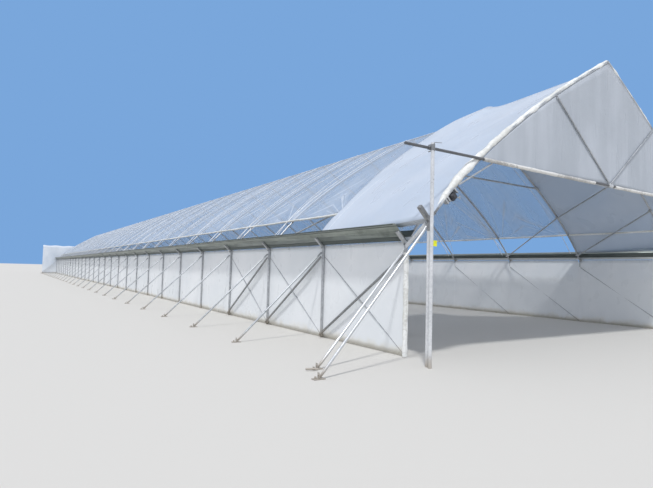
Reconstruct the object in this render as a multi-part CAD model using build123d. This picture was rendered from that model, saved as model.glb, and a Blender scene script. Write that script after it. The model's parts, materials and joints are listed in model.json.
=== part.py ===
from build123d import *
from math import atan2, cos, degrees, dist, hypot, radians, sin, tan
import os

# Polytunnel greenhouse, a 1:2 model: every size below is half the real one, in mm.
# X runs across the tunnel with 0 on the ridge, Y runs along it from the open front
# to the screened back, Z is up from the ground.

# Plan and height
bay = 1375.0  # one bay, from post to post
bays = 28
half_width = 2530.0  # ridge line to post axis
front_overhang = 426.0  # first posts to the raised front hoop
clearance = 0.3  # between pieces that seat on each other

# Posts, heads and stays
post_radius = 15.0
post_top = 945.0
head_height = 990.0  # middle of the Y head, where its arms meet
head_width = 24.0  # arm of the Y head, across
head_thickness = 34.0
head_arm = 150.0  # from the middle of the head to the tip of its outer arm
head_seat = 62.0  # from the middle of the head to the foot of the hoop
outer_arm_slope = 45.0
stay_radius = 10.5
stay_reach = 1000.0  # post axis to the foot of its stay
stay_drop = 6.0  # top of the post to the upper end of its stay
anchor_plate = 90.0
anchor_width = 44.0
anchor_thickness = 6.0
anchor_peg = 46.0

# Hoops: each half is a pointed arch, from the head to the ridge, with its two end
# tangents meeting above the shoulder
hoop_radius = 12.0
hoop_runs = 5  # straight runs between the press bends of one half
shoulder_in = 584.0
shoulder_height = 1814.0
ridge_height = 2915.0
front_outset = 140.0  # the front hoop's foot stands this far outside the post line
front_head_rise = 170.0  # the front hoop's head, shoulder and ridge above a plain hoop's
front_shoulder_in = 700.0
front_shoulder_rise = 296.0
front_ridge_rise = 205.0

# Gutter
gutter_bottom = 20.0  # flat strip between the wings
gutter_outer_wing = 196.0  # along the slope
gutter_inner_wing = 120.0
gutter_lip = 26.0  # level edge of the outer wing
gutter_sheet = 3.0
gutter_overrun = 24.0  # past the first and the last post

# Films
film = 4.0
wall_hem = 2.0  # lower edge above the ground
vent_height = 1405.0  # hem tube of the roof film
hem_radius = 11.0
front_sheet_lap = 440.0  # past the second hoop
front_sheet_start = 0.06  # lower edge, as a place along the arch
corner_width = 46.0

# Front frame
beam_radius = 12.0
beam_height = 1739.0
beam_overrun = 265.0  # past the axis of the tall post
tall_post_outset = 160.0
tall_post_stub = 34.0  # above the beam
clamp_length = 40.0
clamp_wall = 5.0
strut_radius = 8.0
strut_reach = 980.0  # ridge line to the upper end of the strut
knee_reach = 425.0  # across, from the foot of the knee brace on the hoop to its upper end
knee_drop = 255.0
eave_bar_radius = 12.0
winch_size = 58.0  # side of the box, along the hoop and across it
winch_depth = 50.0  # along the tunnel
winch_drop = 331.0  # beam axis to the place on the hoop that the box hangs at
winch_arm = 92.0  # from the middle of the box to the end of its arm
winch_arm_radius = 6.0

# Bracing
tie_height = 2076.0
tie_radius = 12.0
tie_overrun = 10.0
brace_radius = 13.0
brace_drop = 55.0  # top of the post to the upper end of its brace
braced_bays = 3
thin_brace_radius = 6.0
roof_brace_radius = 10.0
roof_brace_start = 40.0  # from the foot of its hoop to its lower end, across
roof_brace_shift = 578.0  # sideways for each bay

# Back end
screen_height = 2070.0
screen_reach = 935.0  # past the post line
screen_post_radius = 15.0
screen_posts = 9
back_gap = 60.0  # last hoop to the screen
back_gable_height = 2070.0  # lower edge of the sheet in the last hoop

tube_sides = 8

# Places that follow from the sizes above
front_stack = hoop_radius + 2 * beam_radius + 2 * post_radius + 2 * clearance
back_stack = back_gap + film + 2 * screen_post_radius + clearance
total_length = front_overhang + front_stack + bays * bay + back_stack
first_post_y = front_overhang + front_stack - total_length / 2
second_y = first_post_y + bay
last_post_y = first_post_y + bays * bay
back_y = last_post_y + back_gap
front_y = first_post_y - front_overhang
beam_y = front_y - hoop_radius - beam_radius - clearance
tall_post_y = beam_y - beam_radius - post_radius - clearance
brace_y = front_y - hoop_radius - strut_radius - clearance
post_x = -half_width
front_post_x = post_x - front_outset
front_post_top = post_top + front_head_rise
front_head_height = head_height + front_head_rise
front_shoulder_height = shoulder_height + front_shoulder_rise
front_ridge_height = ridge_height + front_ridge_rise
wall_film_x = post_x + post_radius + clearance + film / 2
wall_film_top = head_height - head_width / 2
film_inner = hoop_radius + clearance  # hoop axis to the inside of the film


def frame_y(index):
    return first_post_y + index * bay


# Tubes have eight flats, with corners towards the pieces they seat on


def section_plane(origin, along):
    level = Vector(0, 0, 1).cross(along)
    across = level if level.length > clearance else Vector(1, 0, 0)
    return Plane(origin=origin, x_dir=across, z_dir=along)


def tube(start, end, radius):
    start = Vector(*start)
    along = Vector(*end) - start
    section = section_plane(start, along) * RegularPolygon(radius, tube_sides)
    return extrude(section, amount=along.length)


def bent_tube(points, radius):
    path = Polyline(*points)
    along = Vector(*points[1]) - Vector(*points[0])
    section = section_plane(Vector(*points[0]), along) * RegularPolygon(radius, tube_sides)
    return sweep(section, path, transition=Transition.RIGHT)


def upright(outline, y):
    return make_face(Polyline(*[(x, y, z) for x, z in outline], close=True))


def slab_along_y(outline, start_y, end_y):
    return extrude(upright(outline, start_y), amount=end_y - start_y, dir=(0, 1, 0))


def end_inset(radius, across, up):
    """How far the end of a leaning tube reaches past its axis, square to its rise."""
    return radius * abs(across) / hypot(across, up)


# The arch of one left half, in the XZ plane: its press bends lie on a quadratic curve
# from foot to ridge, with straight runs between them. A place along it is a share from
# 0 at the foot to 1 at the ridge, and a distance is square to the runs, outwards.


class Arch:
    def __init__(self, foot, shoulder, ridge):
        shares = [index / hoop_runs for index in range(hoop_runs + 1)]
        self.bends = [self.curve(foot, shoulder, ridge, share) for share in shares]
        pairs = zip(self.bends, self.bends[1:])
        self.slopes = [atan2(after[1] - before[1], after[0] - before[0]) for before, after in pairs]

    @staticmethod
    def curve(foot, shoulder, ridge, share):
        near = (1 - share) ** 2
        middle = 2 * share * (1 - share)
        return tuple(near * a + middle * b + share**2 * c for a, b, c in zip(foot, shoulder, ridge))

    def bend(self, index, distance):
        x, z = self.bends[index]
        if index == hoop_runs:
            return x, z + distance / cos(self.slopes[-1])
        before = self.slopes[max(index - 1, 0)]
        after = self.slopes[index]
        reach = distance / cos((before - after) / 2)
        middle = (before + after) / 2
        return x - reach * sin(middle), z + reach * cos(middle)

    def run(self, share):
        return min(int(share * hoop_runs), hoop_runs - 1)

    def slope(self, share):
        return self.slopes[self.run(share)]

    def at(self, share, distance=0.0):
        run = self.run(share)
        part = share * hoop_runs - run
        start, end = self.bend(run, distance), self.bend(run + 1, distance)
        return tuple(a + part * (b - a) for a, b in zip(start, end))

    def share_at(self, value, axis, distance=0.0):
        run = 0
        while run < hoop_runs - 1 and self.bend(run + 1, distance)[axis] < value:
            run += 1
        start, end = self.bend(run, distance)[axis], self.bend(run + 1, distance)[axis]
        return (run + (value - start) / (end - start)) / hoop_runs

    def shares_from(self, start):
        bends = [index / hoop_runs for index in range(hoop_runs + 1)]
        return [start] + [share for share in bends if share > start + 0.01]

    def seam(self, share):
        run = self.run(share)
        return clearance / (hoop_runs * dist(self.bends[run], self.bends[run + 1]))


foot_slope = atan2(shoulder_height - head_height, shoulder_in)
main_arch = Arch(
    (post_x + head_seat * cos(foot_slope), head_height + head_seat * sin(foot_slope)),
    (post_x + shoulder_in, shoulder_height),
    (0.0, ridge_height),
)
front_foot_slope = atan2(front_shoulder_height - front_head_height, front_shoulder_in + front_outset)
front_arch = Arch(
    (
        front_post_x + head_seat * cos(front_foot_slope),
        front_head_height + head_seat * sin(front_foot_slope),
    ),
    (post_x + front_shoulder_in, front_shoulder_height),
    (0.0, front_ridge_height),
)


def half_hoop(arch, y):
    points = [(x, y, z) for x, z in arch.bends[:-1]]
    ridge_x, ridge_z = arch.bends[-1]
    slope = arch.slopes[-1]
    short = hoop_radius + clearance  # its end butts on the tube along the ridge
    points.append((ridge_x - short * cos(slope), y, ridge_z - short * sin(slope)))
    return bent_tube(points, hoop_radius)


# Y heads: a fork cut from plate, its stem on the post, one arm out under the gutter
# and one arm in to the foot of the hoop


def fork(x, height, stem_base, arch, inner_slope, y):
    half = head_width / 2
    outer_slope = radians(outer_arm_slope)
    turn = (outer_slope + inner_slope) / 2
    lean = (outer_slope - inner_slope) / 2
    crotch = half / cos(turn)
    inner_arm = head_seat - clearance - hoop_radius * sin(abs(inner_slope - arch.slopes[0]))

    def arm(side, slope, length, edge):
        return (
            x + side * (length * cos(slope) - edge * half * sin(slope)),
            height + length * sin(slope) + edge * half * cos(slope),
        )

    outline = [
        (x - half, stem_base),
        (x - half, height - half * tan((radians(90) - outer_slope) / 2)),
        arm(-1, outer_slope, head_arm, -1),
        arm(-1, outer_slope, head_arm, 1),
        (x + crotch * sin(lean), height + crotch * cos(lean)),
        arm(1, inner_slope, inner_arm, 1),
        arm(1, inner_slope, inner_arm, -1),
        (x + half, height - half * tan((radians(90) - inner_slope) / 2)),
        (x + half, stem_base),
    ]
    return slab_along_y(outline, y - head_thickness / 2, y + head_thickness / 2)


# Gutter: it lies in the forks, two folded wings that meet along the middle of the
# trough. Each wing follows its arm at the clearance, so the arms give its height. Its
# flats are mitred at the folds, with a seam of the clearance between them.


class Gutter:
    def __init__(self):
        arm_half = head_width / 2 + clearance
        self.slopes = {-1: radians(outer_arm_slope), 1: foot_slope}
        self.lengths = {-1: gutter_outer_wing, 1: gutter_inner_wing}
        starts = {side: arm_half / cos(slope) for side, slope in self.slopes.items()}
        runs = sum(starts[side] / tan(slope) for side, slope in self.slopes.items())
        self.rise = (gutter_bottom + runs) / sum(1 / tan(slope) for slope in self.slopes.values())
        self.bottoms = {side: (self.rise - starts[side]) / tan(slope) for side, slope in self.slopes.items()}

    def flats(self, side):
        slope, bottom = self.slopes[side], self.bottoms[side]
        low = head_height + self.rise
        run_x, run_z = self.lengths[side] * cos(slope), self.lengths[side] * sin(slope)
        tip_x, tip_z = bottom + run_x, low + run_z
        fold = gutter_sheet * tan(slope / 2)
        seam = clearance / 2
        seam_x, seam_z = clearance * cos(slope), clearance * sin(slope)
        strip = [(seam, low), (bottom, low), (bottom - fold, low + gutter_sheet), (seam, low + gutter_sheet)]
        edge = [(tip_x, tip_z), (tip_x - fold, tip_z + gutter_sheet)]
        if side > 0:
            edge[1] = (tip_x - gutter_sheet * sin(slope), tip_z + gutter_sheet * cos(slope))
        wing = [
            (bottom + seam_x, low + seam_z),
            *edge,
            (bottom - fold + seam_x, low + gutter_sheet + seam_z),
        ]
        lip = [
            (tip_x + clearance, tip_z),
            (tip_x + gutter_lip, tip_z),
            (tip_x + gutter_lip, tip_z + gutter_sheet),
            (tip_x - fold + clearance, tip_z + gutter_sheet),
        ]
        flats = [strip, wing, lip] if side < 0 else [strip, wing]
        return [[(post_x + side * x, z) for x, z in flat] for flat in flats]

    def wing(self, side):
        start_y, end_y = first_post_y - gutter_overrun, last_post_y + gutter_overrun
        return [slab_along_y(flat, start_y, end_y) for flat in self.flats(side)]


# Side rows, each made for the left


def side_posts():
    return [tube((post_x, frame_y(i), 0), (post_x, frame_y(i), post_top), post_radius) for i in range(bays + 1)]


def along_side(piece):
    return [Pos(0, i * bay, 0) * piece for i in range(bays + 1)]


def stay(x, y, top):
    lean_in = stay_radius * top / hypot(top, stay_reach)
    lean_up = stay_radius * stay_reach / hypot(top, stay_reach)
    foot = (x - stay_reach + lean_in, y, anchor_thickness + clearance + lean_up)
    head = (x - post_radius - clearance - lean_in, y, top)
    return tube(foot, head, stay_radius)


def anchor(x, y):
    half = anchor_plate / 2
    half_peg = anchor_thickness / 2
    peg_x = x - stay_reach - clearance - half_peg
    outline = [
        (peg_x - half, 0),
        (peg_x + half, 0),
        (peg_x + half, anchor_thickness),
        (peg_x + half_peg, anchor_thickness),
        (peg_x + half_peg, anchor_peg),
        (peg_x - half_peg, anchor_peg),
        (peg_x - half_peg, anchor_thickness),
        (peg_x - half, anchor_thickness),
    ]
    return slab_along_y(outline, y - anchor_width / 2, y + anchor_width / 2)


# Wall bracing: stout tubes outside the posts fall away from the front, thin ones
# inside the wall film fall towards it


def outer_braces():
    x = post_x - post_radius - clearance - brace_radius
    low, high = 2 * brace_radius, post_top - brace_drop
    return [tube((x, frame_y(i), high), (x, frame_y(i + 1), low), brace_radius) for i in range(braced_bays)]


def inner_braces():
    x = wall_film_x + film / 2 + clearance + thin_brace_radius
    inset = 2 * thin_brace_radius
    low, high = inset, post_top - brace_drop
    return [
        tube((x, frame_y(i) + inset, low), (x, frame_y(i + 1) - inset, high), thin_brace_radius)
        for i in range(braced_bays)
    ]


# Roof bracing under the hoops of the first bays, with a bend where it passes a hoop


def roof_brace(from_frame):
    start_x = main_arch.bends[0][0] + roof_brace_start
    under = -(hoop_radius + roof_brace_radius + 2 * clearance)
    points = []
    for step in range(from_frame + 1):
        x, z = main_arch.at(main_arch.share_at(start_x + step * roof_brace_shift, 0), under)
        points.append((x, frame_y(from_frame - step), z))
    return bent_tube(points, roof_brace_radius)


# Films


def upright_panel(x, thickness, start_y, end_y):
    panel = Box(thickness, end_y - start_y, wall_film_top - wall_hem)
    return Pos(x, (start_y + end_y) / 2, (wall_hem + wall_film_top) / 2) * panel


def wall_film():
    return upright_panel(wall_film_x, film, first_post_y, back_y - clearance)


def corner_edge():
    thickness = corner_width / 2
    x = wall_film_x - film / 2 + thickness / 2
    return upright_panel(x, thickness, first_post_y - corner_width, first_post_y - clearance)


def film_strips(arch, start, inner):
    """Section of each strip of a film from a place on the arch to the ridge, one for
    each straight run, with a seam of the clearance between them."""
    shares = arch.shares_from(start)
    strips = []
    for low, high in zip(shares, shares[1:]):
        low += arch.seam(low)
        corners = [(low, inner), (high, inner), (high, inner + film), (low, inner + film)]
        strips.append([arch.at(share, distance) for share, distance in corners])
    return strips


hem_share = main_arch.share_at(vent_height, 1)


def roof_film():
    start_y, end_y = second_y - hoop_radius, last_post_y + hoop_radius
    return [slab_along_y(outline, start_y, end_y) for outline in film_strips(main_arch, hem_share, film_inner)]


def hem_tube():
    x, z = main_arch.at(hem_share, film_inner + hem_radius)
    slope = main_arch.slope(hem_share)
    reach = hem_radius + clearance
    start = (x - reach * cos(slope), second_y + front_sheet_lap + clearance, z - reach * sin(slope))
    return tube(start, (start[0], last_post_y + hoop_radius, start[2]), hem_radius)


def front_sheet():
    """Level over the front hoop, then down to the roof film, then level along its lap."""
    fronts = film_strips(front_arch, front_sheet_start, film_inner)
    rears = film_strips(main_arch, front_sheet_start, film_inner + film + clearance)
    strips = []
    for front, rear in zip(fronts, rears):
        over_hoop = [upright(front, front_y - hoop_radius), upright(front, front_y + hoop_radius)]
        over_film = [upright(rear, second_y - 2 * hoop_radius), upright(rear, second_y + front_sheet_lap)]
        strips.append(loft(over_hoop + over_film, ruled=True))
    return strips


def gable_sheet(arch, low, y):
    inner = -film_inner
    half = [arch.at(share, inner) for share in arch.shares_from(arch.share_at(low, 1, inner))]
    outline = half + [(-x, z) for x, z in reversed(half[:-1])]
    return slab_along_y(outline, y - film / 2, y + film / 2)


# Front frame


def tall_post():
    x = post_x - tall_post_outset
    return tube((x, tall_post_y, 0), (x, tall_post_y, beam_height + tall_post_stub), post_radius)


def short_post():
    return tube((front_post_x, front_y, 0), (front_post_x, front_y, front_post_top), post_radius)


def gable_beam():
    reach = half_width + tall_post_outset + beam_overrun
    return tube((-reach, beam_y, beam_height), (reach, beam_y, beam_height), beam_radius)


def centre_clamp():
    outside = RegularPolygon(beam_radius + clamp_wall, tube_sides)
    ring = outside - RegularPolygon(beam_radius + clearance, tube_sides)
    middle = section_plane(Vector(0, beam_y, beam_height), Vector(1, 0, 0))
    return extrude(middle * ring, clamp_length, both=True)


def strut():
    foot_x = -2 * strut_radius
    top_x, top_z = front_arch.at(front_arch.share_at(-strut_reach, 0))
    seat = beam_height + beam_radius + clamp_wall + clearance
    rise = end_inset(strut_radius, foot_x - top_x, top_z - seat)
    return tube((foot_x, brace_y, seat + rise), (top_x, brace_y, top_z), strut_radius)


def knee_brace():
    foot_z = beam_height - knee_drop
    foot_x = front_arch.at(front_arch.share_at(foot_z, 1))[0]
    top_x = foot_x + knee_reach
    seat = beam_height - beam_radius - clearance
    rise = end_inset(strut_radius, top_x - foot_x, seat - foot_z)
    return tube((foot_x, brace_y, foot_z), (top_x, brace_y, seat - rise), strut_radius)


def eave_bar():
    drop = 2 * eave_bar_radius
    sideways = hypot(front_outset, front_head_height - head_height)
    between_heads = front_overhang - 2 * head_thickness
    gap = head_thickness / 2 + clearance + end_inset(eave_bar_radius, sideways, between_heads)
    start = (post_x, first_post_y - gap, head_height - drop)
    return tube(start, (front_post_x, front_y + gap, front_head_height - drop), eave_bar_radius)


def vent_winch():
    """A box under the front hoop, square to it, with a short level arm inwards."""
    share = front_arch.share_at(beam_height - winch_drop, 1)
    x, z = front_arch.at(share, -(hoop_radius + clearance + winch_size / 2))
    slope = degrees(front_arch.slope(share))
    box = Pos(x, front_y, z) * Rot(0, -slope, 0) * Box(winch_size, winch_depth, winch_size)
    return box + tube((x, front_y, z), (x + winch_arm, front_y, z), winch_arm_radius)


def collar_tie():
    reach = tie_overrun - main_arch.at(main_arch.share_at(tie_height, 1))[0]
    y = second_y - hoop_radius - tie_radius - clearance
    return tube((-reach, y, tie_height), (reach, y, tie_height), tie_radius)


def ridge_piece(start_y, end_y, height):
    return tube((0, start_y, height), (0, end_y, height), hoop_radius)


# Back screen: film on its own posts, wider than the tunnel


def screen_film():
    width = 2 * (half_width + screen_reach)
    panel = Box(width, film, screen_height - wall_hem)
    return Pos(0, back_y + film / 2, (wall_hem + screen_height) / 2) * panel


def screen_post_row():
    reach = half_width + screen_reach - screen_post_radius
    y = back_y + film + clearance + screen_post_radius
    places = [-reach + 2 * reach * index / (screen_posts - 1) for index in range(screen_posts)]
    return [tube((x, y, 0), (x, y, screen_height), screen_post_radius) for x in places]


# Writing: a left piece is mirrored for the right


def write(name, pieces):
    shape = pieces[0] if len(pieces) == 1 else Compound(children=pieces)
    export_step(shape, f"parts/{name}.step")


def mirrored(pieces):
    return [mirror(piece, about=Plane.YZ) for piece in pieces]


def write_sides(name, pieces):
    right_pieces = mirrored(pieces)
    write(f"left_{name}", pieces)
    write(f"right_{name}", right_pieces)


def write_pair(name, piece):
    write(name, [piece] + mirrored([piece]))


os.makedirs("parts", exist_ok=True)
gutter = Gutter()
front_stay = stay(front_post_x, front_y, front_post_top - stay_drop)
write_sides("posts", side_posts())
write_sides("post_heads", along_side(fork(post_x, head_height, post_top, main_arch, foot_slope, first_post_y)))
write_sides("hoops", along_side(half_hoop(main_arch, first_post_y)))
write_sides("gutter_outer_wing", gutter.wing(-1))
write_sides("gutter_inner_wing", gutter.wing(1))
write_sides("stays", along_side(stay(post_x, first_post_y, post_top - stay_drop)) + [front_stay])
write_sides("ground_anchors", along_side(anchor(post_x, first_post_y)) + [anchor(front_post_x, front_y)])
write_sides("outer_wall_braces", outer_braces())
write_sides("inner_wall_braces", inner_braces())
write_sides("roof_braces", [roof_brace(2), roof_brace(1)])
write_sides("wall_film", [wall_film()])
write_sides("roof_film", roof_film())
write_sides("hem_tube", [hem_tube()])
write_sides("front_sheet", front_sheet())
write_sides("front_hoop", [half_hoop(front_arch, front_y)])
write_pair("wall_corner_edges", corner_edge())
write_pair("tall_front_posts", tall_post())
write_pair("short_front_posts", short_post())
write_pair(
    "front_post_heads",
    fork(front_post_x, front_head_height, front_post_top, front_arch, front_foot_slope, front_y),
)
write_pair("front_eave_bars", eave_bar())
write_pair("gable_struts", strut())
write_pair("knee_braces", knee_brace())
write("gable_beam", [gable_beam()])
write("gable_centre_clamp", [centre_clamp()])
write("front_gable_sheet", [gable_sheet(front_arch, beam_height - beam_radius, front_y)])
write("back_gable_sheet", [gable_sheet(main_arch, back_gable_height, last_post_y)])
write("collar_tie", [collar_tie()])
write("vent_winch", [vent_winch()])
write("ridge_tube", [ridge_piece(first_post_y - hoop_radius, last_post_y + hoop_radius, ridge_height)])
write("front_ridge_sleeve", [ridge_piece(front_y - hoop_radius, front_y + hoop_radius, front_ridge_height)])
write("back_screen_film", [screen_film()])
write("back_screen_posts", screen_post_row())
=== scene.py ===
import json
from math import atan2, cos, radians, sin

import bpy
import numpy as np
from mathutils import Matrix, Vector


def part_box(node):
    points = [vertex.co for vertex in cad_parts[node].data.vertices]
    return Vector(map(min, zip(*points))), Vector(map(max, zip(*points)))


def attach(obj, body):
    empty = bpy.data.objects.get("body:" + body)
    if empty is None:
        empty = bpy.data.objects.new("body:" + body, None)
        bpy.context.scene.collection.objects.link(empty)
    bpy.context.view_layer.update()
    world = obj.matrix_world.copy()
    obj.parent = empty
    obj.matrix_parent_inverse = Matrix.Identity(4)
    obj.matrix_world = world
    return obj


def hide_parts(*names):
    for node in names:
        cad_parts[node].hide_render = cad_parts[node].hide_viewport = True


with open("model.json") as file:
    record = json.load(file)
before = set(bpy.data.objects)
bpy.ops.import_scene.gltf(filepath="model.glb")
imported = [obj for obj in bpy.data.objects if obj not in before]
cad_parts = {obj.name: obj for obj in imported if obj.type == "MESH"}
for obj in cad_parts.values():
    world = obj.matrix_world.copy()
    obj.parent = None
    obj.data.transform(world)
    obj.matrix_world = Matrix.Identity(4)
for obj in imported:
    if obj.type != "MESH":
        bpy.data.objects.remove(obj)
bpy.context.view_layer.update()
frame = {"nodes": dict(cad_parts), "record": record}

# Polytunnel greenhouse, half size, in metres. X across, Y from the open front to the
# screened back, Z up. Left pieces have negative X and right ones are their mirror image.

print("frame loaded")


# Places read from the frame

def middle(node):
    low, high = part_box(node)
    return (np.array(low) + np.array(high)) / 2


tunnel = {"bays": 28, "headHeight": 0.990, "headSeat": 0.062, "filmGap": 0.0123, "tube": 0.012, "ventHeight": 1.405,
          "shoulder": (0.584, 1.814), "frontHead": 1.160, "frontShoulder": (0.700, 2.110), "filmThickness": 0.002}
sides = (("left", -1.0), ("right", 1.0))

postLow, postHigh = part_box("left_posts")
postRadius = (postHigh.x - postLow.x) / 2
postTop = postHigh.z
halfWidth = -middle("left_posts")[0]
firstY = postLow.y + postRadius
lastY = postHigh.y - postRadius
bay = (lastY - firstY) / tunnel["bays"]
frameYs = firstY + bay * np.arange(tunnel["bays"] + 1)
frontY = middle("left_front_hoop")[1]
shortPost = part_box("short_front_posts")[1]
frontHalfWidth = shortPost.x - postRadius
beamY, beamZ = middle("gable_beam")[1:]
ridgeZ = middle("ridge_tube")[2]
sleeveZ = middle("front_ridge_sleeve")[2]


# An arch is a quadratic curve from foot to ridge that leans on a shoulder point

def archOf(halfFoot, headHeight, shoulder, topZ):
    shoulderIn, shoulderZ = shoulder
    slope = atan2(shoulderZ - headHeight, halfFoot - halfWidth + shoulderIn)
    seat = tunnel["headSeat"]
    foot = (halfFoot - seat * cos(slope), headHeight + seat * sin(slope))
    return np.array([foot, (halfWidth - shoulderIn, shoulderZ), (0.0, topZ)]), slope


mainArch, mainSlope = archOf(halfWidth, tunnel["headHeight"], tunnel["shoulder"], ridgeZ)
frontArch, frontSlope = archOf(frontHalfWidth, tunnel["frontHead"], tunnel["frontShoulder"], sleeveZ)


def archPoints(arch, shares, outset=0.0):
    """(1-t)^2 foot + 2t(1-t) shoulder + t^2 ridge, moved outset along the outward normal, mitred at the ridge."""
    t, outset = np.asarray(shares, float)[..., None], np.asarray(outset, float)
    spots = (1 - t) ** 2 * arch[0] + 2 * t * (1 - t) * arch[1] + t**2 * arch[2]
    along = 2 * (1 - t) * (arch[1] - arch[0]) + 2 * t * (arch[2] - arch[1])
    along /= np.linalg.norm(along, axis=-1, keepdims=True)
    outward = np.stack([along[..., 1], -along[..., 0]], axis=-1)
    moved = spots + outset[..., None] * outward
    moved[..., 1] = np.where(moved[..., 0] < 0, arch[2][1], moved[..., 1])
    atRidge = t[..., 0] > 0.9999
    moved[..., 0] = np.where(atRidge, 0.0, np.maximum(moved[..., 0], 0.0))
    moved[..., 1] = np.where(atRidge, arch[2][1] + outset / outward[..., 1], moved[..., 1])
    return moved


def shareAt(arch, axis, value):
    """The share of the arch at which x (axis 0, falling) or z (axis 1, rising) comes to a value, off a table."""
    shares = np.linspace(0, 1, 2001)
    sign = (-1, 1)[axis]
    return float(np.interp(sign * value, sign * archPoints(arch, shares)[:, axis], shares))


# Meshes from whole arrays

def grid(*parts):
    """Numbers and arrays spread over one another and stacked as the last axis of one array."""
    return np.stack(np.broadcast_arrays(*parts), axis=-1)


def hump(share):
    """0 at whole numbers and 1 half-way between: sin(pi x)."""
    return np.sin(np.pi * share)


def runLength(points):
    """Length along a line of points from its first one."""
    return np.concatenate([[0], np.cumsum(np.linalg.norm(np.diff(points, axis=0), axis=1))])


def pieceOf(name, mesh, sharpAngle=38):
    points, faces = mesh
    made = bpy.data.meshes.new(name)
    made.from_pydata(np.reshape(points, (-1, 3)).tolist(), [], faces)
    made.shade_smooth()
    made.set_sharp_from_angle(angle=radians(sharpAngle))
    piece = bpy.data.objects.new(name, made)
    bpy.context.scene.collection.objects.link(piece)
    return piece


def place(piece, material, nodes):
    piece.data.materials.append(material)
    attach(piece, "root")
    if nodes:
        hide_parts(*nodes)


def make(name, mesh, material, *nodes, slotName="galvanised_tube", soft=0.0):
    """A piece from its points and faces, its edges rounded by soft, in place of the nodes."""
    piece = pieceOf(name, mesh)
    if soft:
        edge = piece.modifiers.new("edges", "BEVEL")
        edge.width = soft
        edge.segments = 2
        edge.angle_limit = radians(50)
    place(piece, material, nodes)


def makeSheet(name, points, spread, flip, material, slotName, *nodes, offset=-1):
    """A skin over a grid of points, with one map pair in metres for each, thickened to its inner side."""
    rows, columns = points.shape[:2]
    index = np.arange(rows * columns).reshape(rows, columns)
    corners = [index[:-1, :-1], index[:-1, 1:], index[1:, 1:], index[1:, :-1]]
    quads = np.stack(corners[::-1] if flip else corners, axis=-1)
    piece = pieceOf(name, (points, quads.reshape(-1, 4).tolist()), 60)
    mesh = piece.data
    loops = np.empty(len(mesh.loops), np.int32)
    mesh.loops.foreach_get("vertex_index", loops)
    layer = mesh.uv_layers.new(name="filmMap")
    layer.data.foreach_set("uv", spread.reshape(-1, 2)[loops].astype(np.float32).ravel())
    wall = piece.modifiers.new("thickness", "SOLIDIFY")
    wall.thickness = tunnel["filmThickness"]
    wall.offset = offset
    place(piece, material, nodes)


def joined(*meshes):
    """Several meshes, each its points and faces, as one."""
    points, faces, count = [], [], 0
    for part, partFaces in meshes:
        points.append(part)
        faces += [[corner + count for corner in face] for face in partFaces]
        count += len(part)
    return np.vstack(points), faces


def tubes(paths, radius, sides=14, thin=1.0, across=None):
    """Rings of radius r round each path: centre + r cos a * side + r sin a * up, capped at both ends.
    paths is (tubes, points, 3). thin scales the rings along up, across points the rings' side."""
    paths = np.asarray(paths, float)
    paths = paths.reshape(-1, *paths.shape[-2:])
    count, steps = paths.shape[:2]
    along = np.gradient(paths, axis=1)
    along /= np.linalg.norm(along, axis=-1, keepdims=True)
    if across is None:
        level = np.cross(along[:, :1], [0.0, 0.0, 1.0])
        upright = np.linalg.norm(level, axis=-1, keepdims=True) < 1e-3
        across = np.where(upright, [1.0, 0.0, 0.0], level)
    side = across - np.sum(across * along, axis=-1, keepdims=True) * along
    side /= np.linalg.norm(side, axis=-1, keepdims=True)
    up = np.cross(side, along)
    angle = np.linspace(0, 2 * np.pi, sides, endpoint=False)[:, None]
    radii = np.broadcast_to(np.asarray(radius, float), (count, steps))[..., None, None]
    thin = np.broadcast_to(thin, steps)[:, None, None]
    ring = np.cos(angle) * side[:, :, None] + (np.sin(angle) * thin) * up[:, :, None]
    points = paths[:, :, None] + radii * ring
    index = np.arange(count * steps * sides).reshape(count, steps, sides)
    turned = np.roll(index, -1, axis=2)
    quads = np.stack([index[:, :-1], index[:, 1:], turned[:, 1:], turned[:, :-1]], axis=-1)
    faces = quads.reshape(-1, 4).tolist() + index[:, 0].tolist() + index[:, -1, ::-1].tolist()
    return points.reshape(-1, 3), faces


def between(starts, ends):
    """Straight paths from each start to each end."""
    starts, ends = np.atleast_2d(starts)[:, None], np.atleast_2d(ends)[:, None]
    return starts + np.array([0.0, 1.0])[None, :, None] * (ends - starts)


def pins(centres, axis, length, radius, sides=6):
    """Short bars through each centre along one axis: bolts, bands and stubs."""
    centres, half = np.atleast_2d(centres), np.asarray(axis, float) * length / 2
    return tubes(between(centres - half, centres + half), radius, sides)


def boxes(centres, size, turn=np.eye(3)):
    """Eight corners round each centre, sized and turned alike."""
    signs = np.array([[x, y, z] for x in (-1, 1) for y in (-1, 1) for z in (-1, 1)], float)
    corners = (signs * np.asarray(size) / 2) @ np.array(turn).T
    centres = np.atleast_2d(centres)
    boxSides = np.array([[0, 1, 3, 2], [4, 6, 7, 5], [0, 4, 5, 1], [2, 3, 7, 6], [0, 2, 6, 4], [1, 5, 7, 3]])
    faces = (boxSides + 8 * np.arange(len(centres))[:, None, None]).reshape(-1, 4).tolist()
    return (centres[:, None] + corners).reshape(-1, 3), faces


def mirroredPairs(points):
    """Points given for the right, with their like on the left."""
    points = np.atleast_2d(points)
    return np.vstack([points, points * [-1.0, 1.0, 1.0]])


def leaning(side, slope):
    """A turn that lays X along a slope in the XZ plane, rising away from the middle."""
    along = np.array([side * cos(slope), 0.0, sin(slope)])
    across = np.array([0.0, 1.0, 0.0])
    return np.stack([along, across, np.cross(along, across)], axis=1)


# Shader nodes

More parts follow.
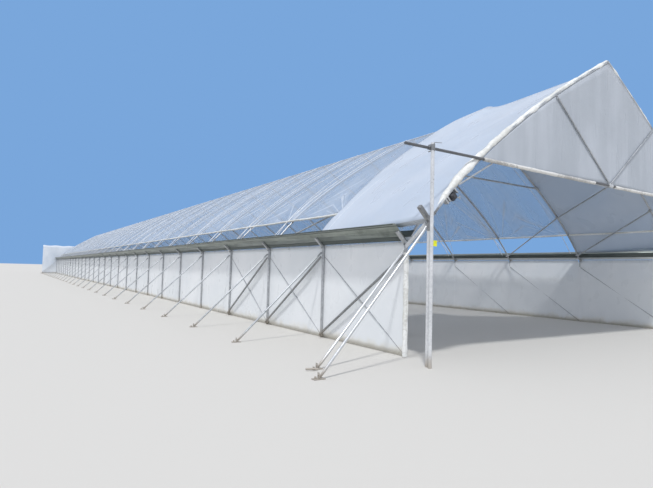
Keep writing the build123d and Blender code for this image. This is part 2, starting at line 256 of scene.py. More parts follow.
class NodeMaker:
    """Short ways to add nodes to one shader tree."""

    def __init__(self, tree):
        self.tree = tree

    def wire(self, node, inputs):
        """Sets each input, by a link where the value is another node's output."""
        for key, value in inputs.items():
            if isinstance(value, bpy.types.NodeSocket):
                self.tree.links.new(value, node.inputs[key])
            else:
                node.inputs[key].default_value = value
        return node

    def add(self, kind, inputs=None, **settings):
        node = self.tree.nodes.new("ShaderNode" + kind)
        for key, value in settings.items():
            setattr(node, key, value)
        return self.wire(node, inputs or {})

    def maths(self, operation, *values):
        return self.add("Math", dict(enumerate(values)), operation=operation).outputs[0]

    def times(self, first, second):
        return self.maths("MULTIPLY", first, second)

    def timesPlus(self, first, second, third):
        return self.maths("MULTIPLY_ADD", first, second, third)

    def gap(self, first, second):
        return self.maths("ABSOLUTE", self.maths("SUBTRACT", first, second))

    def ramp(self, value, low, high, toLow=0.0, toHigh=1.0):
        inputs = {"Value": value, "From Min": low, "From Max": high, "To Min": toLow, "To Max": toHigh}
        return self.add("MapRange", inputs, interpolation_type="SMOOTHSTEP").outputs[0]

    def mix(self, share, first, second):
        return self.add("Mix", {0: share, 6: first, 7: second}, data_type="RGBA").outputs[2]

    def noise(self, vector, scale, detail, **more):
        return self.add("TexNoise", {"Vector": vector, "Scale": scale, "Detail": detail, **more}).outputs["Fac"]

    def split(self, vector):
        return self.add("SeparateXYZ", {0: vector}).outputs

    def join(self, *parts):
        return self.add("CombineXYZ", dict(enumerate(parts))).outputs[0]

    def group(self, group, inputs):
        return self.add("Group", inputs, node_tree=group).outputs

    def bump(self, height, distance, strength=0.4):
        return self.add("Bump", {"Height": height, "Distance": distance, "Strength": strength}).outputs[0]

    def objectPlace(self):
        return self.add("TexCoord").outputs["Object"]

    def filmMap(self):
        return self.add("UVMap", uv_map="filmMap").outputs[0]


def colour(red, green, blue):
    return (red, green, blue, 1.0)


def nodeGroup(**inputs):
    """Makes a node group of the function that works out its outputs and gives it that function's name. An input
    without a value is a vector, one with a number a float, else a colour."""
    def build(outputsOf):
        group = bpy.data.node_groups.new(outputsOf.__name__, "ShaderNodeTree")
        for label, value in inputs.items():
            kind = {float: "NodeSocketFloat", tuple: "NodeSocketColor"}.get(type(value), "NodeSocketVector")
            socket = group.interface.new_socket(name=label, in_out="INPUT", socket_type=kind)
            if value is not None:
                socket.default_value = value
        nodes = NodeMaker(group)
        outputs = outputsOf(nodes, group.nodes.new("NodeGroupInput").outputs)
        for label in outputs:
            kind = "NodeSocketColor" if label == "Color" else "NodeSocketFloat"
            group.interface.new_socket(name=label, in_out="OUTPUT", socket_type=kind)
        nodes.wire(group.nodes.new("NodeGroupOutput"), outputs)
        return group
    return build


bloomLook = {"stainScale": 5.0, "fineScale": 140.0, "toneInColour": 0.35, "stainInColour": 0.75,
             "toneInRoughness": 0.12, "stainInRoughness": 0.30, "leastRoughness": 0.16,
             "toneInHeight": 0.3, "fineInHeight": 0.5}


@nodeGroup(Vector=None, Crystal=60.0, Dull=colour(0.38, 0.40, 0.41), Bright=colour(0.74, 0.76, 0.78))
def zincBloom(nodes, given):
    """Flat crystals a few centimetres wide, with soft stains over them."""
    look = bloomLook
    crystal = nodes.add("TexVoronoi", {"Vector": given["Vector"], "Scale": given["Crystal"]})
    tone = nodes.add("SeparateColor", {0: crystal.outputs["Color"]}).outputs[0]
    stain = nodes.noise(given["Vector"], look["stainScale"], 5.0)
    fine = nodes.noise(given["Vector"], look["fineScale"], 3.0)
    share = nodes.timesPlus(tone, look["toneInColour"], nodes.times(stain, look["stainInColour"]))
    rough = nodes.timesPlus(stain, look["stainInRoughness"], nodes.times(tone, look["toneInRoughness"]))
    return {
        "Color": nodes.mix(share, given["Dull"], given["Bright"]),
        "Roughness": nodes.maths("ADD", rough, look["leastRoughness"]),
        "Height": nodes.timesPlus(fine, look["fineInHeight"], nodes.times(tone, look["toneInHeight"]))}


@nodeGroup(Map=None, Across=5.0, Along=0.5)
def filmStreaks(nodes, given):
    """Noise drawn out along the second map axis, from eave to ridge, with fine creases."""
    u, v, _ = nodes.split(given["Map"])
    drawn = nodes.join(nodes.times(u, given["Across"]), nodes.times(v, given["Along"]), 0.0)
    streak = nodes.noise(drawn, 1.0, 3.5, Roughness=0.55)
    cloud = nodes.noise(given["Map"], 0.9, 3.0)
    return {
        "Streak": nodes.ramp(streak, 0.40, 0.66),
        "Crease": nodes.noise(drawn, 4.5, 2.0, Distortion=0.3),
        "Cloud": nodes.ramp(cloud, 0.35, 0.65)}


fanLook = {"angleScale": 11.0, "hoopShift": 3.7, "upScale": 0.25, "lineFrom": 0.54, "lineTo": 0.66, "full": 0.35}


@nodeGroup(Map=None, Bay=1.375, Foot=2.75, Reach=1.5)
def eaveFan(nodes, given):
    """Creases that fan out from the foot of each hoop: noise over the angle a = atan(u / v), where u is the way
    to the nearest hoop and v the way up from below the eave, fading as v grows."""
    u, v, _ = nodes.split(given["Map"])
    beside = nodes.maths("DIVIDE", u, given["Bay"])
    nearest = nodes.maths("ROUND", beside)
    across = nodes.times(nodes.maths("SUBTRACT", beside, nearest), given["Bay"])
    above = nodes.maths("ADD", v, given["Foot"])
    angle = nodes.maths("ARCTAN2", across, above)
    spot = nodes.join(nodes.times(angle, fanLook["angleScale"]), nodes.times(nearest, fanLook["hoopShift"]),
                      nodes.times(above, fanLook["upScale"]))
    line = nodes.ramp(nodes.noise(spot, 1.0, 2.0), fanLook["lineFrom"], fanLook["lineTo"])
    fade = nodes.ramp(above, given["Reach"], fanLook["full"])
    return {"Crease": nodes.times(line, fade)}


@nodeGroup(Vector=None, Height=0.3)
def groundDust(nodes, given):
    """Dust near the ground: full at Z 0, gone at the given height, broken up by noise."""
    level = nodes.split(given["Vector"])[2]
    patch = nodes.noise(given["Vector"], 7.0, 6.0)
    reach = nodes.times(given["Height"], nodes.times(patch, 2.0))
    return {"Mask": nodes.ramp(nodes.maths("DIVIDE", level, reach), 1.0, 0.0)}


# Materials

def materialMaker(inputsOf):
    """Makes a function that works out the shader's inputs into one that makes a named material."""
    def build(name, *values):
        made = bpy.data.materials.new(name)
        made.use_nodes = True
        nodes = NodeMaker(made.node_tree)
        nodes.wire(made.node_tree.nodes["Principled BSDF"], inputsOf(nodes, *values))
        return made
    return build


zincLook = {"dustHeight": 0.14, "dustShare": 0.7, "dustRoughness": 0.4, "relief": 0.0006,
            "soil": colour(0.42, 0.36, 0.28)}


@materialMaker
def zincMaterial(nodes, dull, bright, crystal, metallic):
    spot = nodes.objectPlace()
    bloom = nodes.group(zincBloom, {"Vector": spot, "Crystal": crystal, "Dull": dull, "Bright": bright})
    dust = nodes.group(groundDust, {"Vector": spot, "Height": zincLook["dustHeight"]})["Mask"]
    soil = nodes.times(dust, zincLook["dustShare"])
    return {
        "Base Color": nodes.mix(soil, bloom["Color"], zincLook["soil"]),
        "Roughness": nodes.timesPlus(dust, zincLook["dustRoughness"], bloom["Roughness"]),
        "Metallic": metallic,
        "Normal": nodes.bump(bloom["Height"], zincLook["relief"])}


galvanised = zincMaterial("galvanisedTube", colour(0.22, 0.235, 0.25), colour(0.62, 0.64, 0.66), 70.0, 0.6)
postZinc = zincMaterial("frontPostTube", colour(0.52, 0.54, 0.56), colour(0.90, 0.91, 0.92), 70.0, 0.45)
# Brighter zinc for the fittings; over the nearest stays it is a painted highlight of sunlit tubes
brightZinc = zincMaterial("brightFitting", colour(0.44, 0.46, 0.48), colour(0.82, 0.83, 0.84), 90.0, 0.65)
# A darker copy of the galvanised zinc: painted shade for the stout wall braces, front heads and couplers
darkZinc = zincMaterial("weatheredTube", colour(0.13, 0.135, 0.14), colour(0.38, 0.39, 0.40), 60.0, 0.55)
darkSteel = zincMaterial("darkBeam", colour(0.07, 0.073, 0.08), colour(0.20, 0.205, 0.215), 40.0, 0.5)

# The gutter's bands are distances from the lip's edge round its profile
gutterLook = {"lip": 0.013, "lipEdge": 0.009, "paleFrom": 0.030, "paleTo": 0.110, "rib": 0.068,
              "bottom": 0.186, "bottomFull": 0.198, "foot": 0.284, "crystal": 26.0, "metallic": 0.75,
              "dull": colour(0.11, 0.125, 0.118), "bright": colour(0.31, 0.345, 0.315),
              "bleached": colour(0.50, 0.54, 0.50), "grime": colour(0.075, 0.092, 0.092),
              "footTone": colour(0.80, 0.83, 0.86)}


@materialMaker
def gutterMaterial(nodes):
    """Zinc sheet with stains drawn out along the tunnel, a paler band below the lip, painted shade on the lip, along
    the rib and from the lower outer wing round the bottom and up the inner wing, and a painted reflection as a pale
    foot."""
    look = gutterLook
    bloom = nodes.group(zincBloom, {"Vector": nodes.objectPlace(), "Crystal": look["crystal"],
                                    "Dull": look["dull"], "Bright": look["bright"]})
    u, level, _ = nodes.split(nodes.filmMap())
    drawn = nodes.join(nodes.times(u, 1.6), nodes.times(level, 34.0), 0.0)
    stain = nodes.ramp(nodes.noise(drawn, 1.0, 5.0), 0.42, 0.68)
    pale = nodes.times(nodes.ramp(level, look["lip"], look["paleFrom"]),
                       nodes.ramp(level, look["paleTo"], look["paleFrom"]))
    light = nodes.timesPlus(pale, 0.35, nodes.times(stain, 0.40))
    tone = nodes.mix(light, bloom["Color"], look["bleached"])
    # Painted shade: darker on the turned-down lip, along the pressed rib and from the lower outer wing round the
    # bottom and up the inner wing
    grime = nodes.maths("MAXIMUM", nodes.ramp(level, look["bottom"], look["bottomFull"]),
                        nodes.ramp(level, look["lip"], look["lipEdge"]))
    rib = nodes.ramp(nodes.gap(level, look["rib"]), 0.009, 0.003)
    grime = nodes.maths("MAXIMUM", grime, nodes.times(rib, 0.7))
    # Painted reflection of the floor: a pale band at the foot of the inner wing, taken out of the painted shade
    foot = nodes.ramp(nodes.gap(level, look["foot"]), 0.026, 0.022)
    grime = nodes.maths("SUBTRACT", grime, foot)
    tone = nodes.mix(nodes.times(grime, 0.75), tone, look["grime"])
    return {
        "Base Color": nodes.mix(nodes.times(foot, 0.8), tone, look["footTone"]),
        "Roughness": nodes.timesPlus(grime, 0.2, bloom["Roughness"]),
        "Metallic": look["metallic"],
        "Normal": nodes.bump(bloom["Height"], zincLook["relief"])}


gutterSteel = gutterMaterial("gutterSheet")

filmDetail = {"ridgeFrom": 0.045, "ridgeFull": 0.010, "fanReach": 1.6, "fanRelief": 1.5, "soilShare": 0.75,
              "soilSolid": 0.3, "soil": colour(0.52, 0.48, 0.38), "smooth": 0.26, "rough": 0.46}


@materialMaker
def filmMaterial(nodes, look):
    """Milky polythene: streaks and clouds thicken it and whiten it, and it clings where a hoop lies under it."""
    spread = nodes.filmMap()
    u, v, _ = nodes.split(spread)
    streaks = nodes.group(filmStreaks, {"Map": spread, "Across": look["across"], "Along": look["along"]})
    relief = streaks["Crease"]
    milk = nodes.timesPlus(streaks["Streak"], look["streak"], nodes.times(streaks["Cloud"], look["cloud"]))
    if look["cling"]:
        beside = nodes.maths("DIVIDE", u, bay)
        away = nodes.gap(beside, nodes.maths("ROUND", beside))
        milk = nodes.timesPlus(nodes.ramp(away, look["clingReach"], 0.0), look["cling"], milk)
    if look["ridge"]:
        white = nodes.ramp(nodes.maths("ABSOLUTE", v), filmDetail["ridgeFrom"], filmDetail["ridgeFull"])
        milk = nodes.timesPlus(white, look["ridge"], milk)
    if look["fan"]:
        fan = nodes.group(eaveFan, {"Map": spread, "Bay": bay, "Foot": look["foot"],
                                    "Reach": filmDetail["fanReach"]})[0]
        milk = nodes.timesPlus(fan, look["fan"], milk)
        relief = nodes.timesPlus(fan, filmDetail["fanRelief"], relief)
    milk = nodes.maths("MINIMUM", milk, 1.0)
    tone = nodes.mix(milk, look["clear"], look["white"])
    solid = nodes.ramp(milk, 0.0, 1.0, look["thin"], look["thick"])
    if look["dust"]:
        dust = nodes.group(groundDust, {"Vector": nodes.objectPlace(), "Height": look["dust"]})["Mask"]
        tone = nodes.mix(nodes.times(dust, filmDetail["soilShare"]), tone, filmDetail["soil"])
        solid = nodes.maths("ADD", solid, nodes.times(dust, filmDetail["soilSolid"]))
        solid = nodes.maths("MINIMUM", solid, 1.0)
    return {
        "Base Color": tone,
        "Alpha": solid,
        "Roughness": nodes.ramp(streaks["Crease"], 0.3, 0.7, filmDetail["smooth"], filmDetail["rough"]),
        "Normal": nodes.bump(relief, look["crease"], 0.5)}


plainLook = {"cling": 0.0, "clingReach": 0.03, "dust": 0.0, "ridge": 0.0, "fan": 0.0}
roofLook = {**plainLook, "across": 3.0, "along": 0.35, "streak": 0.20, "cloud": 0.12, "crease": 0.0012,
            "clear": colour(0.44, 0.54, 0.68), "white": colour(0.82, 0.86, 0.91), "thin": 0.33, "thick": 0.80,
            "cling": 0.55, "clingReach": 0.026, "ridge": 0.9, "fan": 0.38, "foot": 2.78}
frontLook = {**plainLook, "across": 0.8, "along": 0.4, "streak": 0.15, "cloud": 0.40, "crease": 0.0002,
             "clear": colour(0.58, 0.66, 0.77), "white": colour(0.67, 0.73, 0.82), "thin": 0.75, "thick": 0.88,
             "ridge": 0.5}
gableLook = {**plainLook, "across": 3.0, "along": 0.4, "streak": 0.4, "cloud": 0.3, "crease": 0.0010,
             "clear": colour(0.49, 0.53, 0.58), "white": colour(0.62, 0.66, 0.72), "thin": 0.80, "thick": 0.92}
screenLook = {**plainLook, "across": 1.4, "along": 0.8, "streak": 0.3, "cloud": 0.4, "crease": 0.0008,
              "clear": colour(0.70, 0.76, 0.84), "white": colour(0.86, 0.89, 0.93), "thin": 0.84, "thick": 0.94,
              "dust": 0.12}
wallLook = {**screenLook, "clear": colour(0.90, 0.93, 0.95), "white": colour(0.97, 0.98, 0.99), "cling": 0.20}

roofFilm = filmMaterial("roofFilm", roofLook)
frontFilm = filmMaterial("frontFilm", frontLook)
gableFilm = filmMaterial("gableFilm", gableLook)
wallFilm = filmMaterial("wallFilm", wallLook)
screenFilm = filmMaterial("screenFilm", screenLook)


@materialMaker
def rollMaterial(nodes, shade, white):
    """Film rolled up on itself: solid white with creases wound round it."""
    spot = nodes.objectPlace()
    wound = nodes.noise(spot, 26.0, 6.0, Distortion=1.2)
    dull = nodes.noise(spot, 3.0, 3.0)
    share = nodes.ramp(nodes.timesPlus(wound, 0.5, nodes.times(dull, 0.5)), 0.38, 0.6)
    return {
        "Base Color": nodes.mix(share, shade, white),
        "Roughness": nodes.ramp(wound, 0.3, 0.7, 0.35, 0.6),
        "Normal": nodes.bump(wound, 0.006, 0.6)}


whiteRoll = rollMaterial("filmRoll", colour(0.66, 0.66, 0.62), colour(0.88, 0.89, 0.87))
hemRoll = rollMaterial("hemRoll", colour(0.44, 0.43, 0.41), colour(0.78, 0.77, 0.74))
ropeWhite = rollMaterial("filmRope", colour(0.60, 0.63, 0.68), colour(0.82, 0.84, 0.86))


@materialMaker
def paintMaterial(nodes, worn, fresh, roughness):
    """Plastic or paint, faded in soft patches and scratched finely."""
    spot = nodes.objectPlace()
    patch = nodes.ramp(nodes.noise(spot, 30.0, 5.0), 0.35, 0.65)
    scratch = nodes.noise(spot, 260.0, 2.0)
    return {
        "Base Color": nodes.mix(patch, worn, fresh),
        "Roughness": nodes.timesPlus(scratch, 0.2, roughness),
        "Normal": nodes.bump(scratch, 0.0004)}


winchBlack = paintMaterial("winchCase", colour(0.020, 0.022, 0.028), colour(0.055, 0.058, 0.068), 0.35)
tagYellow = paintMaterial("tagYellow", colour(0.72, 0.74, 0.02), colour(0.86, 0.88, 0.03), 0.40)
print("materials made")


# Posts, stays and their fittings

stay = {"drop": 0.006, "radius": 0.0105, "nearRadius": 0.0111, "foot": 0.0063, "pressed": 0.35,
        "pressLength": 0.03, "bandHeight": 0.020, "bandGap": 0.0018, "bandDrop": 0.034, "boltRadius": 0.0055,
        "firstIn": 0.027, "firstAhead": 0.127}
stay["lean"] = stay["radius"] * 0.7
stay["reach"] = -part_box("left_stays")[0].x - frontHalfWidth  # the front stays reach furthest out


def pressedTubes(starts, ends, radius, sides=14):
    """Round tubes with both ends pressed flat: thickness rises from the pressed share to 1 over the press length."""
    length = float(np.linalg.norm(ends[0] - starts[0]))
    press = stay["pressLength"]
    spots = np.array([0, 0.6 * press, 1.0 * press, 1.6 * press, length / 2])
    spots = np.concatenate([spots, length - spots[-2::-1]]) / length
    paths = starts[:, None] + spots[None, :, None] * (ends - starts)[:, None]
    away = np.minimum(spots, 1 - spots) * length / press
    thin = stay["pressed"] + (1 - stay["pressed"]) * np.clip(away - 0.6, 0, 1)
    return tubes(paths, radius, sides, thin, [0, 0, 1])


def rowAt(x, z, ys=frameYs):
    return grid(x, ys, z)


def bandsAt(centres):
    """A clamp band round an upright post, with a bolt through its ears."""
    ring = pins(centres, [0, 0, 1], stay["bandHeight"], postRadius + stay["bandGap"], 16)
    bolt = pins(centres, [0, 1, 0], 2 * postRadius + 0.018, stay["boltRadius"])
    return joined(ring, bolt)


def buildPosts():
    """Posts with a band below the head, and a stay from each one's head out to its foot on the ground."""
    for name, side in sides:
        x = side * halfWidth
        posts = tubes(between(rowAt(x, 0.0), rowAt(x, postTop)), postRadius, 16)
        bands = bandsAt(rowAt(x, postTop - stay["bandDrop"]))
        make(f"{name}_round_posts", joined(posts, bands), galvanised, f"{name}_posts")
        outer, inner = halfWidth + stay["reach"] - stay["lean"], halfWidth + postRadius + stay["lean"]
        starts = rowAt(side * outer, stay["foot"] + stay["lean"])
        starts[0] += [-side * stay["firstIn"], -stay["firstAhead"], 0]
        ends = rowAt(side * inner, postTop - stay["drop"])
        shift = frontHalfWidth - halfWidth
        starts = np.vstack([starts, [side * (outer + shift), frontY, stay["foot"] + stay["lean"]]])
        ends = np.vstack([ends, [side * (inner + shift), frontY, shortPost.z - stay["drop"]]])
        stays = pressedTubes(starts, ends, stay["radius"])
        inset = np.array([side * -0.008, 0, 0.008])
        bolts = pins(np.vstack([starts + inset, ends - inset]), [0, 1, 0], 0.020, 0.0045)
        make(f"{name}_round_stays", joined(stays, bolts), galvanised, f"{name}_stays")
        nearest = [-1, 0]
        # The nearest stays get a slightly larger shell of the brighter zinc: a painted highlight of sunlight on them
        make(f"{name}_near_stays", pressedTubes(starts[nearest], ends[nearest], stay["nearRadius"]), brightZinc)
        buildAnchors(name, side, starts)


anchorLook = {"plate": (0.090, 0.044, 0.006), "cheek": (0.004, 0.026, 0.040), "cheekOut": 0.0033, "peg": 0.009,
              "pegOut": 0.026, "boltHeight": 0.026, "bolt": 0.0050, "barFrom": (3.613, -0.145),
              "barTo": (3.529, -0.184), "barHeight": 0.014, "bar": 0.0075, "soft": 0.0012}


def buildAnchors(name, side, feet):
    """Each stay ends on a foot: a plate, an upright cheek that the stay is bolted to and the head of a ground
    screw. A loose bar lies beside the first one."""
    look, plate, cheek = anchorLook, anchorLook["plate"], anchorLook["cheek"]
    centres = grid(feet[:, 0] + side * (stay["lean"] + look["cheekOut"]), feet[:, 1], plate[2] / 2)
    barEnds = [[side * x, firstY + y, look["barHeight"]] for x, y in (look["barFrom"], look["barTo"])]
    mesh = joined(
        boxes(centres, plate),
        boxes(centres + [0, 0, plate[2] / 2 + cheek[2] / 2], cheek),
        pins(centres + [side * look["pegOut"], 0, 0.010], [0, 0, 1], 0.016, look["peg"]),
        pins(centres + [0, 0, look["boltHeight"]], [1, 0, 0], 0.016, look["bolt"]),
        tubes(barEnds, look["bar"], 10))
    make(f"{name}_screw_anchors", mesh, brightZinc, f"{name}_ground_anchors", soft=look["soft"])


# Heads: a sleeve over the post, a channel arm out under the gutter and a sleeve in to the hoop

headLook = {"arm": 0.150, "armDepth": 0.034, "armHeight": 0.024, "frontArmHeight": 0.034, "sleeve": 0.0022,
            "sleeveDrop": 0.085, "hoopSleeve": 0.0132, "hoopSleeveEnd": 0.150, "outerSlope": radians(45),
            "gusset": (0.062, 0.006, 0.046), "bolt": 0.0045, "sleeveBolt": 0.062, "armBolts": (0.05, 0.110),
            "hoopBolt": 0.085, "soft": 0.0015}


def headMesh(side, x, headZ, innerSlope, ys, armHeight):
    look, slope = headLook, headLook["outerSlope"]
    centre = rowAt(side * x, headZ, ys)
    out = np.array([side * cos(slope), 0, sin(slope)])
    inward = np.array([-side * cos(innerSlope), 0, sin(innerSlope)])
    sleeveEnds = between(centre - [0, 0, look["sleeveDrop"]], centre + [0, 0, 0.006])
    hoopSleeveEnds = between(centre + inward * 0.006, centre + inward * look["hoopSleeveEnd"])
    bolts = np.vstack([centre - [0, 0, look["sleeveBolt"]], *[centre + out * way for way in look["armBolts"]],
                       centre + inward * look["hoopBolt"]])
    return joined(
        tubes(sleeveEnds, postRadius + look["sleeve"], 16),
        boxes(centre + out * look["arm"] / 2, (look["arm"], look["armDepth"], armHeight), leaning(side, slope)),
        boxes(centre + [0, 0, 0.012], look["gusset"]),
        tubes(hoopSleeveEnds, look["hoopSleeve"], 14),
        pins(bolts, [0, 1, 0], look["armDepth"] + 0.008, look["bolt"]))


def buildHeads():
    fronts = []
    for name, side in sides:
        mesh = headMesh(side, halfWidth, tunnel["headHeight"], mainSlope, frameYs, headLook["armHeight"])
        make(f"{name}_fork_heads", mesh, galvanised, f"{name}_post_heads", soft=headLook["soft"])
        fronts.append(headMesh(side, frontHalfWidth, tunnel["frontHead"], frontSlope, np.array([frontY]),
                               headLook["frontArmHeight"]))
    # The front heads take the darker zinc, painted shade.
    make("front_fork_heads", joined(*fronts), darkZinc, "front_post_heads", soft=headLook["soft"])


def archTubes(arch, shares, side, ys, radius, sides, outset=0.0):
    """Copies of one half arch at each y, as tubes."""
    half = archPoints(arch, shares, outset)
    paths = grid(side * half[:, 0], np.asarray(ys)[:, None], half[:, 1])
    return tubes(paths, radius, sides, across=[0, 1, 0])


def buildHoops():
    """Each hoop is the arch's own curve, a smooth round tube from the head to the ridge."""
    shares, radius = np.linspace(0, 1, 25), tunnel["tube"]
    for name, side in sides:
        hoops = archTubes(mainArch, shares, side, frameYs, radius, 12)
        make(f"{name}_round_hoops", hoops, galvanised, f"{name}_hoops")
        hoop = archTubes(frontArch, shares, side, [frontY], radius, 14)
        make(f"{name}_round_front_hoop", hoop, galvanised, f"{name}_front_hoop")
    low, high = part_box("ridge_tube")
    ridge = joined(
        tubes(between([0, low.y, ridgeZ], [0, high.y, ridgeZ]), radius, 14),
        pins(rowAt(0.0, ridgeZ), [0, 1, 0], 0.060, radius + 0.002, 14),
        pins(mirroredPairs(rowAt(0.020, ridgeZ - 0.012)), [0, 1, 0], 0.034, 0.005))
    make("round_ridge_tube", ridge, galvanised, "ridge_tube")
    sleeve = pins([0, frontY, sleeveZ], [0, 1, 0], 0.024, radius, 14)
    make("round_ridge_sleeve", sleeve, galvanised, "front_ridge_sleeve")


braceLook = {"drop": 0.055, "outer": 0.013, "thin": 0.006, "thinIn": 0.0020, "overlap": 0.012, "bolt": 0.0055,
             "roof": 0.010, "roofStart": 0.040, "roofShift": 0.578, "roofInset": -0.0226, "clamp": 0.013,
             "lug": (0.058, 0.030, 0.034), "soft": 0.0012}


def buildBraces():
    """Stout wall braces fall away from the front outside the posts, thin ones fall towards it inside the film."""
    high, look = postTop - braceLook["drop"], braceLook
    near, far = frameYs[:3], frameYs[1:4]
    for name, side in sides:
        x = side * (halfWidth + postRadius + 0.0003 + look["outer"])
        starts, ends = rowAt(x, high, near), rowAt(x, 2 * look["outer"], far)
        inset = np.array([0, look["overlap"], -0.008])
        bolts = pins(np.vstack([starts + inset, ends - inset]), [1, 0, 0], 0.024, look["bolt"])
        # The stout braces take the darker zinc, painted shade.
        make(f"{name}_round_wall_braces", joined(pressedTubes(starts, ends, look["outer"]), bolts), darkZinc,
             f"{name}_outer_wall_braces")
        x = side * (halfWidth - postRadius - look["thinIn"])
        thin = between(rowAt(x, 2 * look["thin"], near + look["overlap"]), rowAt(x, high, far - look["overlap"]))
        make(f"{name}_thin_wall_braces", tubes(thin, look["thin"], 10), galvanised, f"{name}_inner_wall_braces")
        meshes = []
        for fromFrame in (2, 1):
            steps = np.arange(fromFrame + 1)
            reaches = mainArch[0][0] - look["roofStart"] - steps * look["roofShift"]
            shares = [shareAt(mainArch, 0, reach) for reach in reaches]
            half = archPoints(mainArch, shares, look["roofInset"])
            spots = grid(side * half[:, 0], frameYs[fromFrame - steps], half[:, 1])
            meshes.append(tubes(spots, look["roof"], 12))
            meshes.append(pins(spots + [0, 0, 0.010], [0, 1, 0], 0.040, look["clamp"], 10))
        make(f"{name}_round_roof_braces", joined(*meshes), galvanised, f"{name}_roof_braces")
    _, tieY, tieZ = middle("collar_tie")
    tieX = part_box("collar_tie")[1].x
    tie = joined(
        pins([0, tieY, tieZ], [1, 0, 0], 2 * tieX, tunnel["tube"], 14),
        boxes(mirroredPairs([tieX - 0.03, tieY + 0.010, tieZ + 0.004]), look["lug"]),
        pins(mirroredPairs([[tieX - 0.016, tieY, tieZ], [tieX - 0.044, tieY, tieZ]]), [0, 1, 0], 0.038, 0.005))
    make("round_collar_tie", tie, galvanised, "collar_tie", soft=look["soft"])


# The gutter: a folded profile carried along the tunnel, its sheets lapped at every second post

gutter = {"outerWing": 0.196, "innerWing": 0.120, "lip": 0.026, "rib": 0.006, "lap": 0.0018, "slope": radians(45),
          "shares": [0.0, 0.20, 0.23, 0.26, 0.56, 0.58, 0.60, 0.84, 0.87, 0.90, 1.0],
          "raised": [0, 0, 1, 0, 0, -0.5, 0, 0, 1, 0, 0],
          "lipFold": [[-0.002, -0.010], [0.001, -0.006], [0.0, 0.0]],
          "lapStart": 0.02, "lapEnd": 0.0195}


def buildGutters():
    """Profile: turned-down lip, outer slope with pressed ribs, flat bottom, inner slope; each sheet laps the last."""
    slope = gutter["slope"]
    raised = np.array(gutter["raised"])[:, None] * gutter["rib"] * np.array([-sin(slope), cos(slope)])
    for name, side in sides:
        nodes = f"{name}_gutter_outer_wing", f"{name}_gutter_inner_wing"
        (outerLow, outerHigh), (innerLow, innerHigh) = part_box(nodes[0]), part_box(nodes[1])
        lipX, lowZ = max(abs(outerLow.x), abs(outerHigh.x)), outerLow.z
        tip = np.array([lipX - gutter["lip"], lowZ + gutter["outerWing"] * sin(slope)])
        fold = np.array([tip[0] - gutter["outerWing"] * cos(slope), lowZ])
        innerTipX = min(abs(innerLow.x), abs(innerHigh.x))
        innerFold = np.array([innerTipX + gutter["innerWing"] * cos(mainSlope), lowZ])
        innerTip = np.array([innerTipX, lowZ + gutter["innerWing"] * sin(mainSlope)])
        wing = fold + np.array(gutter["shares"])[:, None] * (tip - fold) + raised
        lip = np.array([lipX, tip[1]]) + gutter["lipFold"]
        profile = np.vstack([lip, wing[::-1], innerFold, (innerFold + innerTip) / 2, innerTip])
        joints = np.arange(outerLow.y, outerHigh.y, 2 * bay)[1:]
        ys = np.sort(np.concatenate([[outerLow.y, outerHigh.y], joints - gutter["lapStart"],
                                     joints - gutter["lapEnd"], frameYs[1:-1] - 0.4]))
        midLap = joints - (gutter["lapStart"] + gutter["lapEnd"]) / 2
        lap = np.where(np.searchsorted(midLap, ys) % 2 == 1, gutter["lap"], 0.0)
        points = grid(side * profile[:, :1], ys, profile[:, 1:] + lap)
        spread = grid(ys - firstY, runLength(profile)[:, None])
        makeSheet(f"{name}_folded_gutter", points, spread, side < 0, gutterSteel, "gutter_steel", *nodes, offset=1)


# Films

wall = {"top": 1.0145, "headReach": 0.023, "besideHeads": (-0.026, -0.020, 0.020, 0.026), "belly": 0.007,
        "gather": 0.0022, "sleeve": 0.0035, "fold": 0.0055}


def buildWallFilms():
    """Flat film with a belly between posts: x = wall - depth sin^2(pi y / bay) sin(pi z / height), pulled up
    under the gutter between the heads and gathered at each post."""
    low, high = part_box("left_wall_film")
    evenly = np.linspace(low.y, high.y, tunnel["bays"] * 16 + 1)
    besideHeads = np.concatenate([frameYs + step for step in wall["besideHeads"]]).clip(low.y, high.y)
    ys = np.unique(np.concatenate([evenly, besideHeads]))
    level = np.linspace(0, 1, 19)
    phase = ((ys - firstY) / bay)[:, None]
    top = np.where(np.abs(phase - np.round(phase)) * bay < wall["headReach"], high.z, wall["top"])
    zs = low.z + level * (top - low.z)
    belly = wall["belly"] * hump(phase) ** 2 * hump(level)
    held = hump(level) * (0.4 + 0.6 * np.abs(np.cos(np.pi * phase)))
    for name, side in sides:
        gather = wall["gather"] * np.sin(2 * np.pi * (phase * 4 + level * 1.3 + 0.15 * side)) * held
        points = grid(side * (abs(low.x) - belly - np.abs(gather)), ys[:, None], zs)
        makeSheet(f"{name}_wall_sheet", points, grid(ys[:, None] - firstY, zs), side < 0, wallFilm, "wall_film",
                  f"{name}_wall_film")
    zs = np.linspace(low.z, postTop - 0.030, 60)
    swell = postRadius + wall["sleeve"] + 0.0012 * np.sin(zs * 41) + 0.0010 * np.sin(zs * 23)
    foldSwell = wall["fold"] + 0.0015 * np.sin(zs * 33)
    meshes = []
    for name, side in sides:
        path = grid(side * halfWidth + 0.0008 * np.sin(zs * 17), firstY + 0.0008 * np.sin(zs * 9), zs)
        meshes.append(tubes(path, swell, 16))
        meshes.append(tubes(path + [-side * (postRadius + 0.004), -0.010, 0.0], foldSwell, 10))
    make("rolled_corner_edges", joined(*meshes), whiteRoll, "wall_corner_edges", slotName="wall_film")


roofSheet = {"lift": 0.003, "sag": 0.018, "ripple": 0.0018}


def roofOutset(ys, share):
    """The roof film's way from the hoop line: gap - sag sin^2(pi y / bay) (1 - t^6), with small ripples."""
    phase = (ys - firstY) / bay
    midBay = hump(phase) ** 2 * (1 - share**6)
    ripple = roofSheet["ripple"] * np.sin(2 * np.pi * phase * 7) * midBay
    return tunnel["filmGap"] + roofSheet["lift"] - roofSheet["sag"] * midBay + ripple


